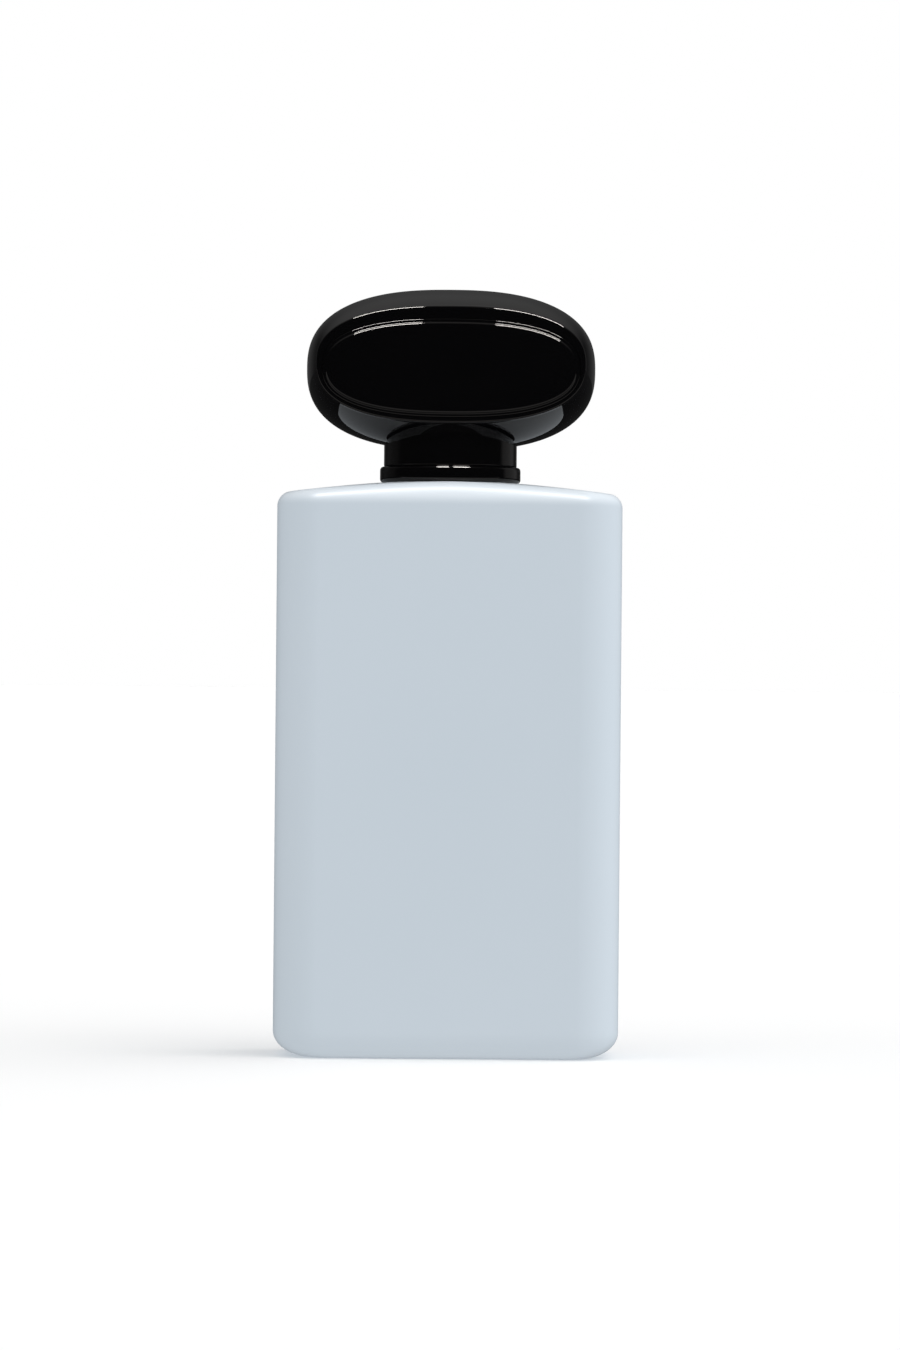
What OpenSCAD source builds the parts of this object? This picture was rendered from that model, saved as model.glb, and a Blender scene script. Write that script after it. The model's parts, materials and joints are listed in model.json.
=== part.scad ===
// Spray bottle for aftershave: lacquered glass bottle, crimped spray pump and a pull-off pebble cap.
// Origin: middle of the base, on the surface the bottle stands on. +Z is up, the front faces -Y.

/* [Bottle body] */
// Width of the body, end to end
body_w = 62; // [54:1:90]
// Depth of the body, front to back
body_d = 31; // [30:0.5:50]
// Height of the flat land that the neck collar sits on
shoulder_h = 103.3; // [80:0.1:160]
// Radius of the body's upright corners
corner_r = 8; // [6:0.5:12]
// Fall of the shoulder's rim to each end, as a share of the rounded edge's height
shoulder_fall = 0.48; // [0:0.01:0.9]
// Power by which the rim falls along the shoulder
fall_power = 1.6; // [1.2:0.1:3]
// Power by which the shoulder falls away from the land around the neck
land_power = 1.2; // [1:0.1:2]
// Height of the rounded edge under the land
edge_h = 4.5; // [2:0.1:8]
// Width of the rounded edge, from the face inwards
edge_w = 2.1; // [0.5:0.1:4]
// Height of the rounding round the base
base_round_h = 4.7; // [2:0.1:8]
// Reach of the base rounding in from each end
base_round_w = 6.9; // [2:0.1:9]
// Reach of the base rounding in from the front and the back
base_round_d = 4.5; // [2:0.1:5]
// Width of the ring that the bottle stands on
foot_w = 2.5; // [1.5:0.1:4]
// Rise of the hollow under the base
punt_h = 0.8; // [0.3:0.1:2]
// Thickness of the upright glass walls
wall_t = 3.5; // [2.5:0.1:4.5]
// Thickness of the glass base
base_t = 6; // [4:0.1:12]
// Thickness of the glass at the shoulder
shoulder_t = 4.8; // [4:0.1:8]
// Radius of the cavity's rounded floor and roof edges
cavity_round = 3.5; // [1:0.1:4]

/* [Glass neck] */
// Height of the neck above the land
neck_h = 9; // [8:0.1:12]
// Diameter of the neck under its bead
neck_d = 13; // [12.6:0.1:13.4]
// Diameter of the bead round the mouth
bead_d = 15; // [14.6:0.1:16]
// Height of the bead
bead_h = 3.6; // [3:0.1:4.2]
// Bore of the neck
neck_bore_d = 10.4; // [10:0.1:10.8]

/* [Crimp ferrule and gasket] */
// Sheet thickness of the ferrule
ferrule_t = 0.45; // [0.3:0.05:0.6]
// Gap between the ferrule and the glass
ferrule_gap = 0.1; // [0.05:0.05:0.2]
// Diameter of the stem hole in the ferrule
ferrule_hole_d = 5.2; // [4.6:0.1:6]
// Thickness of the neck gasket
gasket_t = 1; // [0.6:0.1:1.6]

/* [Pump] */
// Gap between the pump barrel and the neck bore
barrel_gap = 0.7; // [0.4:0.1:1]
// Wall of the pump barrel
barrel_t = 1.1; // [0.8:0.1:1.3]
// Thickness of the flange that hangs the pump on the gasket
flange_t = 1.2; // [0.8:0.1:2]
// Height of the stem guide over the flange
guide_h = 3; // [2:0.1:4]
// Diameter of the stem guide
guide_d = 10.1; // [9.5:0.1:11]
// Depth of the guide's spigot in the barrel, under the neck's mouth
spigot_h = 0.8; // [0.4:0.1:1.5]
// Thickness of the stem gasket
stem_gasket_t = 0.8; // [0.5:0.1:1.2]
// Diameter of the valve stem
stem_d = 3.2; // [2.8:0.1:3.6]
// Bore of the valve stem
stem_bore_d = 1.6; // [1.2:0.1:1.8]
// Diameter of the stem's collar
stem_collar_d = 5.2; // [5:0.1:5.6]
// Thickness of the stem's collar
stem_collar_t = 1; // [0.6:0.1:1.5]
// Travel of the button, the stem and the piston
stroke = 4.2; // [3:0.1:4.4]
// Height of the piston
piston_h = 2.15; // [1.8:0.05:3]
// Travel of the piston up the stem, which opens the outlet
piston_slip = 0.4; // [0.3:0.05:0.6]
// Length of the precompression spring at rest
short_spring_h = 2.35; // [2.3:0.05:4]
// Wire of the precompression spring
short_wire_d = 0.35; // [0.25:0.05:0.4]
// Length of the return spring at rest
long_spring_h = 8.7; // [8.7:0.1:12]
// Wire of the return spring
long_wire_d = 0.6; // [0.4:0.05:0.6]
// Diameter of the inlet ball
ball_d = 2.4; // [2:0.1:2.6]
// Hole under the inlet ball
inlet_d = 1.4; // [1:0.1:1.6]
// Lift of the inlet ball off its seat
ball_lift = 0.6; // [0.3:0.1:0.8]
// Outside diameter of the dip tube
tube_d = 3; // [2.6:0.1:3.6]
// Bore of the dip tube
tube_bore_d = 2; // [1.2:0.1:2.2]
// Length of the dip tube's socket
socket_h = 5; // [3:0.5:8]
// Height of the dip tube's foot over the floor of the bottle
tube_floor_gap = 1.5; // [1:0.5:5]
// Reach of the dip tube's foot towards one end of the bottle
tube_lean = 20; // [5:1:21]
// Running clearance of stem, piston and guide, on the radius
run_gap = 0.05; // [0.02:0.01:0.1]

/* [Spray button] */
// Diameter over the button's sleeve
button_d = 13.6; // [13.4:0.1:15]
// Height of the button
button_h = 9; // [8.8:0.1:12]
// Sheet thickness of the sleeve
sleeve_t = 0.4; // [0.3:0.05:0.5]
// Radius round the sleeve's top edge
sleeve_round = 0.3; // [0.1:0.05:0.35]
// Gap between the pressed button and the ferrule
button_gap = 0.35; // [0.2:0.05:1]
// Length of stem held in the button's socket
stem_grip = 2.95; // [2:0.05:3.2]
// Clearance of the socket on the stem, on the radius
grip_gap = 0.02; // [0.01:0.01:0.05]
// Diameter of the nozzle insert
nozzle_d = 3.6; // [3:0.1:3.8]
// Depth of the nozzle insert
nozzle_h = 2.5; // [1.5:0.1:2.8]
// Diameter of the spray hole
orifice_d = 0.4; // [0.3:0.05:0.8]

/* [Neck collar] */
// Wall of the plastic insert that snaps on the ferrule
insert_t = 0.68; // [0.6:0.02:1]
// Wall of the collar's sleeve
collar_t = 0.7; // [0.6:0.05:1]
// Height of the collar's flange
flange_h = 2.9; // [2:0.1:5]
// Overhang of the flange past the cap's skirt
flange_proud = 0.7; // [0.2:0.1:1]
// Edge radius of the flange
flange_round = 0.55; // [0.2:0.05:0.9]
// Height of the sleeve over the ferrule's cup
sleeve_rise = 1.35; // [0.5:0.05:2]
// Clearance of collar and insert on what they turn on, on the radius
turn_gap = 0.07; // [0.03:0.01:0.1]
// Clearance under the collar, and between the collar and the cap
seat_gap = 0.05; // [0.02:0.01:0.1]

/* [Pebble cap] */
// Width of the cap
cap_w = 52.1; // [46:0.1:70]
// Height of the pebble, without its skirt
cap_h = 29; // [26:0.1:40]
// Depth of the cap between its two rims
cap_d = 29.8; // [29.6:0.1:36]
// Width of the front and back rims
rim_w = 48.2; // [45:0.1:50]
// Height of the front and back rims
rim_h = 21; // [20:0.1:24]
// Rise of the rims above the middle of the cap
rim_rise = 0.35; // [0:0.05:0.5]
// Radius of the rim's edge
rim_round = 0.4; // [0.2:0.05:0.8]
// Fullness of the oval: 2 is an ellipse, more is squarer
oval_power = 2.5; // [2:0.1:3]
// Power by which the barrel draws in towards its rims
barrel_power = 2.1; // [1.6:0.1:3]
// Wall of the skirt
skirt_t = 1.2; // [0.9:0.1:2]
// Wall of the cap's liner
liner_t = 1.1; // [0.8:0.1:1.6]
// Gap between the liner and the collar's sleeve, on the radius
liner_gap = 0.15; // [0.08:0.01:0.3]
// Number of grip ribs in the liner
rib_count = 12; // [6:1:16]
// Width of a grip rib
rib_w = 1; // [0.6:0.1:1.5]
// Height of a grip rib
rib_h = 6.3; // [3:0.1:8]
// Clearance of the ribs on the collar's sleeve
rib_gap = 0.03; // [0.02:0.01:0.06]
// Clearance of the liner, the plates and the weight in the cap
fit_gap = 0.05; // [0.03:0.01:0.1]
// Room over the button inside the liner
button_room = 0.5; // [0.2:0.1:3]
// Room over the liner inside the cap
liner_room = 0.8; // [0.3:0.1:2]
// Height of the liner's foot flange
foot_h = 0.8; // [0.5:0.1:1.5]
// Overhang of the liner's foot flange
foot_proud = 0.65; // [0.3:0.05:0.7]
// Height of the weight ring
weight_h = 9.4; // [3:0.1:11]
// Wall of the weight ring
weight_t = 1.9; // [1:0.1:1.9]
// Gap between the weight's flats and the plates
weight_gap = 0.15; // [0.1:0.05:0.5]

/* [Cap plates] */
// Width of the plates
plate_w = 46.1; // [40:0.1:46.5]
// Height of the plates
plate_h = 17.6; // [16.6:0.1:18]
// Thickness of the plates at their edge
plate_t = 2; // [1.5:0.1:2]
// Crown of the plates in the middle
plate_crown = 0.5; // [0.1:0.1:1.5]
// Width of the bevel round the plates
bevel_w = 1; // [0.3:0.1:2]
// Depth of the bevel
bevel_h = 0.35; // [0.1:0.05:0.6]
// Drop of the plates under the middle of the cap
plate_drop = 0.3; // [0:0.1:0.6]
// Width of the ledge that a plate is bonded to
ledge_w = 0.8; // [0.5:0.1:1.5]

/* [Hidden] */

$fn = 96;
// Steps along one upright corner of the body, its long sides and its short sides
corner_n = 7;
long_n = 12;
short_n = 4;
// Steps over a rounded edge and across the shoulder
round_n = 6;
dome_n = 3;
// Points round the cap's ovals, and steps over half of its depth
oval_n = 72;
band_n = 6;
// Sides of a spring wire, and steps in one turn
wire_n = 6;
turn_n = 18;
// Overrun of a cut past the face that it leaves
cut = 1;

// Radii, from the neck outwards
neck_r = neck_d / 2;
bead_r = bead_d / 2;
bore_r = neck_bore_d / 2;
ferrule_ir = bead_r + ferrule_gap;
ferrule_r = ferrule_ir + ferrule_t;
insert_ir = ferrule_r + turn_gap;
collar_ir = insert_ir + insert_t;
collar_r = collar_ir + collar_t;
liner_ir = collar_r + liner_gap;
liner_r = liner_ir + liner_t;
skirt_ir = liner_r + fit_gap;
skirt_r = skirt_ir + skirt_t;
flange_r = skirt_r + flange_proud;
barrel_r = bore_r - barrel_gap;
barrel_ir = barrel_r - barrel_t;
guide_r = guide_d / 2;
hub_ir = guide_r + run_gap;
hub_r = hub_ir + ferrule_t;
stem_r = stem_d / 2;
guide_ir = stem_r + run_gap;
piston_r = barrel_ir - run_gap;
tube_r = tube_d / 2;
inlet_r = inlet_d / 2;
ball_r = ball_d / 2;
well_r = ball_r + 3 * run_gap;
tail_r = tube_r + barrel_t * 0.8;

// Half sizes of the body, and the land under the collar, whose flange reaches a little past it
land_lip = 0.5;
half_w = body_w / 2;
half_d = body_d / 2;
land_r = min(flange_r, half_d - 0.5) - land_lip;
edge_in = min(edge_w, half_d - land_r - land_lip);
edge_z = shoulder_h - edge_h;
cavity_top = shoulder_h - shoulder_t;

// Heights in the neck and the pump
mouth_z = shoulder_h + neck_h;
gasket_top = mouth_z + gasket_t;
flange_top = gasket_top + flange_t;
guide_top = flange_top + guide_h;
cup_top = flange_top + ferrule_t;
hub_top = guide_top + ferrule_t;
lip_z = mouth_z - bead_h - ferrule_gap - ferrule_t;
spigot_z = mouth_z - spigot_h;
stem_gasket_z = spigot_z - stem_gasket_t;
stem_collar_top = stem_gasket_z - run_gap;
stem_collar_z = stem_collar_top - stem_collar_t;
piston_top = stem_collar_z - short_spring_h;
piston_z = piston_top - piston_h;
foot_top = piston_z - run_gap;
foot_t = 1;
foot_r = piston_r - 0.45;
foot_boss_h = 1;
foot_z = foot_top - foot_t;
barrel_floor = foot_z - long_spring_h;
nib_h = 0.3;
nib_in = 0.4;
seat_drop = sqrt(pow(ball_r, 2) - pow(inlet_r, 2));
// The lifted ball still clears the nibs that keep it in its well
nib_touch = sqrt(pow(ball_r, 2) - pow(well_r - nib_in, 2));
ball_z = barrel_floor - nib_h - ball_lift - nib_touch - 3 * run_gap;
seat_z = ball_z - seat_drop - run_gap / 2;
seat_t = 1;
socket_top = seat_z - seat_t;
tail_z = socket_top - socket_h;
tube_z = base_t + tube_floor_gap;

// Heights and radii of the button
button_z = cup_top + stroke + button_gap;
sleeve_z = button_z + 0.2;
button_top = button_z + button_h;
sleeve_ir = button_d / 2 - sleeve_t;
core_r = sleeve_ir - fit_gap;
core_top = button_top - sleeve_t - fit_gap;
skirt_room_r = hub_r + 0.2;
socket_z = hub_top + stroke + 0.25;
stem_top = socket_z + stem_grip;
chamber_top = stem_top + 0.9;
nozzle_z = stem_top + 0.4;
nozzle_r = nozzle_d / 2;
channel_r = 0.45;
window_r = nozzle_r + 0.2;

// Heights of the collar
collar_z = shoulder_h + seat_gap;
flange_z = collar_z + flange_h;
collar_top = cup_top + sleeve_rise;
insert_z = collar_z + 0.9;
insert_top = cup_top - 0.2;
catch_top = lip_z - 0.1;
catch_t = 1;
catch_r = neck_r + 0.7;

// Sizes and heights of the cap
half_cap_d = cap_d / 2;
plate_face = half_cap_d - plate_t;
open_w = plate_w - 2 * ledge_w - 2 * fit_gap;
open_h = plate_h - 2 * ledge_w - 2 * fit_gap;
skirt_z = flange_z + seat_gap;
liner_roof = button_top + button_room;
liner_top = liner_roof + liner_t;
liner_rise = oval_height(open_w / 2, open_h / 2, liner_r) - liner_room;
// The pebble rises with its own height, so that its foot stays over the collar
least_skirt = 1;
open_z = max(liner_top - liner_rise, skirt_z + least_skirt + cap_h / 2 - plate_drop);
cap_z = open_z + plate_drop;
skirt_top = open_z - open_h / 2 - 1;
weight_ir = liner_r + fit_gap;
weight_r = weight_ir + weight_t;
weight_face = plate_face - weight_gap;
weight_z = open_z - oval_height(open_w / 2, open_h / 2, weight_r + fit_gap);
foot_flange_r = liner_r + foot_proud;

// ---- Shapes that several pieces share ----

// Half height of an oval at a distance x from its middle
function oval_height(a, b, x) = b * pow(1 - pow(min(x / a, 1), oval_power), 1 / oval_power);

// Points round an oval with half sizes a and b
function oval(a, b) = [
    for (i = [0:oval_n - 1])
        let (t = 360 * i / oval_n, e = 2 / oval_power)
        [a * sign(cos(t)) * pow(abs(cos(t)), e), b * sign(sin(t)) * pow(abs(sin(t)), e)]
];

// Points between p and q, without q
function between(p, q, n) = [for (i = [0:n - 1]) p + (q - p) * i / n];

// Points round an upright corner in quarter k, without its last point
function corner(hx, hy, r, k) =
    let (sx = k == 0 || k == 3 ? 1 : -1, sy = k < 2 ? 1 : -1)
    [for (i = [0:corner_n - 1])
        let (a = 90 * (k + i / corner_n))
        [sx * (hx - r) + r * cos(a), sy * (hy - r) + r * sin(a)]];

// Points round a rectangle with half sizes hx and hy and rounded corners
function slab(hx, hy, r) = concat(
    between([hx, -(hy - r)], [hx, hy - r], short_n), corner(hx, hy, r, 0),
    between([hx - r, hy], [-(hx - r), hy], long_n), corner(hx, hy, r, 1),
    between([-hx, hy - r], [-hx, -(hy - r)], short_n), corner(hx, hy, r, 2),
    between([-(hx - r), -hy], [hx - r, -hy], long_n), corner(hx, hy, r, 3)
);

function at_z(ring, z) = [for (p = ring) [p[0], p[1], z]];

// Middle of a ring of points
function middle(ring) = [for (p = ring) 1] * ring / len(ring);

// Closed skin over a stack of rings, each with as many points as the next
module loft(rings) {
    n = len(rings[0]);
    last = len(rings) - 1;
    points = concat([for (ring = rings) each ring], [middle(rings[0]), middle(rings[last])]);
    floor_mid = len(points) - 2;
    roof_mid = len(points) - 1;
    sides = [
        for (k = [0:last - 1], j = [0:n - 1], half = [0, 1])
            let (a = k * n + j, b = k * n + (j + 1) % n, c = b + n, d = a + n)
            half == 0 ? [a, d, c] : [a, c, b]
    ];
    floor_fan = [for (j = [0:n - 1]) [floor_mid, j, (j + 1) % n]];
    roof_fan = [for (j = [0:n - 1]) [roof_mid, last * n + (j + 1) % n, last * n + j]];
    polyhedron(points, concat(sides, floor_fan, roof_fan));
}

// Compression spring with a closed turn at each end, standing on z = 0
module spring(length, coil_r, wire_r, turns) {
    dead = wire_r * 2.1;
    pitch = (length - 2 * wire_r - 2 * dead) / (turns - 2);
    steps = turns * turn_n;
    rings = [
        for (i = [0:steps])
            let (u = i / turn_n, a = 360 * u,
                 rise = dead * (min(u, 1) + max(u - turns + 1, 0)) + pitch * min(max(u - 1, 0), turns - 2))
            [for (j = [0:wire_n - 1])
                let (f = 360 * j / wire_n, r = coil_r + wire_r * sin(f))
                [r * cos(a), r * sin(a), wire_r + rise + wire_r * cos(f)]]
    ];
    loft(rings);
}

module ring(r_out, r_in, z_low, z_high) {
    translate([0, 0, z_low])
        difference() {
            cylinder(r = r_out, h = z_high - z_low);
            translate([0, 0, -cut])
                cylinder(r = r_in, h = z_high - z_low + 2 * cut);
        }
}

// A cylinder from y_front back to y_back, at height z
module along_y(r, y_front, y_back, z) {
    translate([0, y_back, z])
        rotate([90, 0, 0])
            cylinder(r = r, h = y_back - y_front, $fn = 48);
}

// ---- Glass bottle ----

// Fall of the shoulder's rim at a distance x from the middle
function fall_at(x) = edge_h * shoulder_fall * pow(abs(x) / half_w, fall_power);

function base_ring(t) =
    let (s = 1 - sin(t))
    at_z(slab(half_w - base_round_w * s, half_d - base_round_d * s, corner_r - base_round_d * s),
        base_round_h * (1 - cos(t)));

function edge_ring(t) =
    let (inset = edge_in * (1 - cos(t)))
    [for (p = slab(half_w - inset, half_d - inset, corner_r - inset))
        [p[0], p[1], edge_z + (edge_h - fall_at(p[0])) * sin(t)]];

function shoulder_ring(s) = [
    for (p = slab(half_w - edge_in, half_d - edge_in, corner_r - edge_in))
        let (q = p * (1 - s) + p / norm(p) * land_r * s)
        [q[0], q[1], shoulder_h - fall_at(p[0]) * pow(1 - s, land_power)]
];

module body_skin() {
    foot_x = half_w - base_round_w - foot_w;
    foot_y = half_d - base_round_d - foot_w;
    punt_r = max(corner_r - base_round_d - foot_w, 1);
    loft(concat(
        [at_z(slab(foot_x - punt_h, foot_y - punt_h, punt_r), punt_h)],
        [at_z(slab(foot_x, foot_y, punt_r), 0)],
        [for (i = [0:round_n]) base_ring(90 * i / round_n)],
        [for (i = [0:round_n]) edge_ring(90 * i / round_n)],
        [for (i = [1:dome_n]) shoulder_ring(i / dome_n)]
    ));
}

function cavity_ring(t, z, way) =
    let (s = cavity_round * (1 - sin(t)))
    at_z(slab(half_w - wall_t - s, half_d - wall_t - s, max(corner_r - wall_t - s, 0.5)),
        z + way * cavity_round * (1 - cos(t)));

module cavity() {
    loft(concat(
        [for (i = [0:round_n]) cavity_ring(90 * i / round_n, base_t, 1)],
        [for (i = [round_n:-1:0]) cavity_ring(90 * i / round_n, cavity_top, -1)]
    ));
}

module bottle() {
    color("lightsteelblue")
        difference() {
            union() {
                body_skin();
                translate([0, 0, cavity_top])
                    cylinder(r = neck_r, h = mouth_z - cavity_top);
                translate([0, 0, mouth_z - bead_h])
                    cylinder(r = bead_r, h = bead_h);
            }
            cavity();
            translate([0, 0, cavity_top - cut])
                cylinder(r = bore_r, h = mouth_z - cavity_top + 2 * cut);
        }
}

// ---- Collar ----

module neck_collar() {
    color("black")
        rotate_extrude()
            difference() {
                union() {
                    translate([collar_ir, collar_z])
                        square([collar_t, collar_top - collar_z]);
                    translate([collar_ir, collar_z])
                        square([flange_r - flange_round - collar_ir, flange_h]);
                    translate([collar_ir, collar_z + flange_round])
                        square([flange_r - collar_ir, flange_h - 2 * flange_round]);
                    for (z = [collar_z + flange_round, flange_z - flange_round])
                        translate([flange_r - flange_round, z])
                            circle(r = flange_round, $fn = 32);
                }
                translate([collar_r - 0.25, collar_top + 0.01])
                    rotate(-45)
                        square(1);
            }
}

// Plastic ring that snaps under the ferrule and holds the collar down
module collar_insert() {
    color("whitesmoke")
        union() {
            ring(collar_ir, insert_ir, insert_z, insert_top);
            ring(insert_ir + insert_t / 2, catch_r, catch_top - catch_t, catch_top);
        }
}

// ---- Pump fixed in the neck ----

module crimp_ferrule() {
    lip_r = neck_r + 0.15;
    hole_r = ferrule_hole_d / 2;
    color("silver")
        rotate_extrude()
            polygon([
                [lip_r, lip_z], [ferrule_r, lip_z], [ferrule_r, cup_top], [hub_r, cup_top],
                [hub_r, hub_top], [hole_r, hub_top], [hole_r, guide_top], [hub_ir, guide_top],
                [hub_ir, flange_top], [ferrule_ir, flange_top],
                [ferrule_ir, lip_z + ferrule_t], [lip_r, lip_z + ferrule_t]
            ]);
}

module neck_gasket() {
    color("dimgray")
        ring(bead_r - 0.2, barrel_r + 0.1, mouth_z, gasket_top);
}

module pump_housing() {
    hang_r = bead_r;
    barrel_end = seat_z - seat_t;
    color("white")
        difference() {
            union() {
                rotate_extrude()
                    polygon([
                        [barrel_ir, flange_top], [hang_r, flange_top], [hang_r, gasket_top],
                        [barrel_r, gasket_top], [barrel_r, barrel_end],
                        [tail_r, barrel_end - (barrel_r - tail_r)], [tail_r, tail_z],
                        [tube_r + 0.01, tail_z], [tube_r + 0.01, socket_top], [inlet_r, socket_top],
                        [inlet_r, seat_z], [well_r, seat_z], [well_r, barrel_floor],
                        [barrel_ir, barrel_floor]
                    ]);
                for (a = [0:120:240])
                    rotate(a)
                        translate([well_r - nib_in, -0.3, barrel_floor - nib_h])
                            cube([nib_in + 0.3, 0.6, nib_h]);
            }
            translate([0, 0, stem_collar_z - 0.5])
                rotate([0, 90, 0])
                    cylinder(r = 0.35, h = barrel_r + cut, $fn = 24);
        }
}

module stem_guide() {
    spigot_r = barrel_ir - run_gap;
    color("gainsboro")
        rotate_extrude()
            polygon([
                [guide_ir, spigot_z], [spigot_r, spigot_z], [spigot_r, flange_top],
                [guide_r, flange_top], [guide_r, guide_top], [guide_ir, guide_top]
            ]);
}

module stem_gasket() {
    color("dimgray")
        ring(barrel_ir - run_gap, guide_ir, stem_gasket_z, spigot_z);
}

// Hangs from its socket and bends in one arc towards the end of the bottle
module dip_tube() {
    drop = tail_z - tube_z;
    bend_r = (pow(tube_lean, 2) + pow(drop, 2)) / (2 * tube_lean);
    color("whitesmoke")
        union() {
            ring(tube_r, tube_bore_d / 2, tail_z, socket_top);
            translate([-bend_r, 0, tail_z])
                rotate([-90, 0, 0])
                    rotate_extrude(angle = 2 * atan(tube_lean / drop))
                        translate([bend_r, 0])
                            difference() {
                                circle(r = tube_r, $fn = 32);
                                circle(r = tube_bore_d / 2, $fn = 32);
                            }
        }
}

// ---- Moving pieces of the pump ----

module valve_stem() {
    notch_h = 0.35;
    color("white")
        difference() {
            union() {
                translate([0, 0, foot_top])
                    cylinder(r = stem_r, h = stem_top - foot_top);
                translate([0, 0, stem_collar_z])
                    cylinder(r = stem_collar_d / 2, h = stem_collar_t);
            }
            translate([0, 0, foot_top - cut])
                cylinder(r = stem_bore_d / 2, h = stem_top - foot_top + 2 * cut);
            translate([-stem_d, -0.3, foot_top - cut])
                cube([2 * stem_d, 0.6, notch_h + cut]);
        }
}

// Foot pressed in the stem: it carries the piston and rides on the return spring
module stem_foot() {
    pin_r = stem_bore_d / 2 - 0.02;
    color("gainsboro")
        union() {
            translate([0, 0, foot_z])
                cylinder(r = foot_r, h = foot_t);
            translate([0, 0, foot_z - foot_boss_h])
                cylinder(r = foot_r - long_wire_d - 0.4, h = foot_boss_h + foot_t / 2);
            intersection() {
                translate([0, 0, foot_z])
                    cylinder(r = pin_r, h = foot_t + 2);
                translate([-pin_r, -pin_r * 0.7, foot_z])
                    cube([2 * pin_r, pin_r * 1.4, foot_t + 2]);
            }
        }
}

module piston() {
    lip_h = 0.6;
    waist_r = piston_r - 0.5;
    color("darkgray")
        rotate_extrude()
            polygon([
                [guide_ir, piston_z], [piston_r, piston_z], [piston_r, piston_z + lip_h],
                [waist_r, piston_z + lip_h + 0.2], [waist_r, piston_top - lip_h - 0.2],
                [piston_r, piston_top - lip_h], [piston_r, piston_top], [guide_ir, piston_top]
            ]);
}

module precompression_spring() {
    wire_r = short_wire_d / 2;
    color("silver")
        translate([0, 0, piston_top])
            spring(short_spring_h, guide_ir + wire_r + 0.25, wire_r, 4);
}

module return_spring() {
    wire_r = long_wire_d / 2;
    color("silver")
        translate([0, 0, barrel_floor])
            spring(long_spring_h, foot_r - wire_r, wire_r, 5);
}

module inlet_ball() {
    color("lightgray")
        translate([0, 0, ball_z])
            sphere(r = ball_r);
}

// ---- Spray button ----

module spray_button() {
    color("black")
        difference() {
            translate([0, 0, button_z])
                cylinder(r = core_r, h = core_top - button_z);
            translate([0, 0, button_z - cut])
                cylinder(r = skirt_room_r, h = socket_z - button_z + cut);
            translate([0, 0, socket_z - cut])
                cylinder(r = stem_r + grip_gap, h = stem_grip + run_gap + cut);
            translate([0, 0, stem_top])
                cylinder(r = stem_bore_d / 2 + 0.2, h = chamber_top - stem_top);
            along_y(channel_r, -core_r, 0, nozzle_z);
            along_y(nozzle_r + fit_gap, -core_r - cut, -core_r + nozzle_h, nozzle_z);
        }
}

// Drawn aluminium skin of the button, with a window for the nozzle
module button_sleeve() {
    sleeve_r = button_d / 2;
    color("dimgray")
        difference() {
            rotate_extrude()
                union() {
                    translate([0, sleeve_z])
                        square([sleeve_r, button_top - sleeve_round - sleeve_z]);
                    translate([0, sleeve_z])
                        square([sleeve_r - sleeve_round, button_top - sleeve_z]);
                    translate([sleeve_r - sleeve_round, button_top - sleeve_round])
                        circle(r = sleeve_round, $fn = 32);
                }
            translate([0, 0, sleeve_z - cut])
                cylinder(r = sleeve_ir, h = button_top - sleeve_t - sleeve_z + cut);
            along_y(window_r, -button_d, 0, nozzle_z);
        }
}

module nozzle_insert() {
    face_y = -core_r - 0.15;
    color("gray")
        difference() {
            along_y(nozzle_r, face_y, -core_r + nozzle_h, nozzle_z);
            along_y(orifice_d / 2, face_y - cut, cut, nozzle_z);
            along_y(nozzle_r - 0.7, -core_r + 0.8, cut, nozzle_z);
            along_y(0.8, face_y - cut, face_y + 0.3, nozzle_z);
        }
}

// ---- Pebble cap ----

// Outline at z, lifted by a share k of the rims' rise
function raised(outline, k, z) = [for (p = outline) [p[0], p[1] + rim_rise * k, z]];

// Ring of the cap's barrel band at y, as a share t of half the depth
function band_ring(t) =
    let (k = pow(abs(t), barrel_power), depth = half_cap_d - rim_round)
    raised(oval(cap_w / 2 - (cap_w - rim_w) / 2 * k, cap_h / 2 - (cap_h - rim_h) / 2 * k), k, depth * t);

function rim_ring(t, side) =
    let (inset = rim_round * (1 - cos(t)))
    raised(
        oval(rim_w / 2 - inset, rim_h / 2 - inset), 1, side * (half_cap_d - rim_round * (1 - sin(t)))
    );

// Turns a stack along +Z into one along -Y, at height z
module stand(z) {
    translate([0, 0, z])
        rotate([90, 0, 0])
            children();
}

module pebble() {
    stand(cap_z)
        loft(concat(
            [for (t = [90, 45]) rim_ring(t, -1)],
            [for (i = [-band_n:band_n]) band_ring(i / band_n)],
            [for (t = [45, 90]) rim_ring(t, 1)]
        ));
}

module cap_frame() {
    color([0.06, 0.06, 0.06])
        difference() {
            union() {
                pebble();
                translate([0, 0, skirt_z])
                    cylinder(r = skirt_r, h = skirt_top - skirt_z);
            }
            stand(open_z)
                linear_extrude(cap_d + 2 * cut, center = true)
                    polygon(oval(open_w / 2, open_h / 2));
            for (side = [-1, 1])
                stand(open_z)
                    translate([0, 0, side * (plate_face + cap_d / 2)])
                        linear_extrude(cap_d, center = true)
                            polygon(oval(plate_w / 2 + fit_gap, plate_h / 2 + fit_gap));
            translate([0, 0, skirt_z - cut])
                cylinder(r = skirt_ir, h = open_z - skirt_z + cut);
            translate([0, 0, skirt_z - cut])
                cylinder(r = foot_flange_r + fit_gap, h = foot_h + cut);
        }
}

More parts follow.
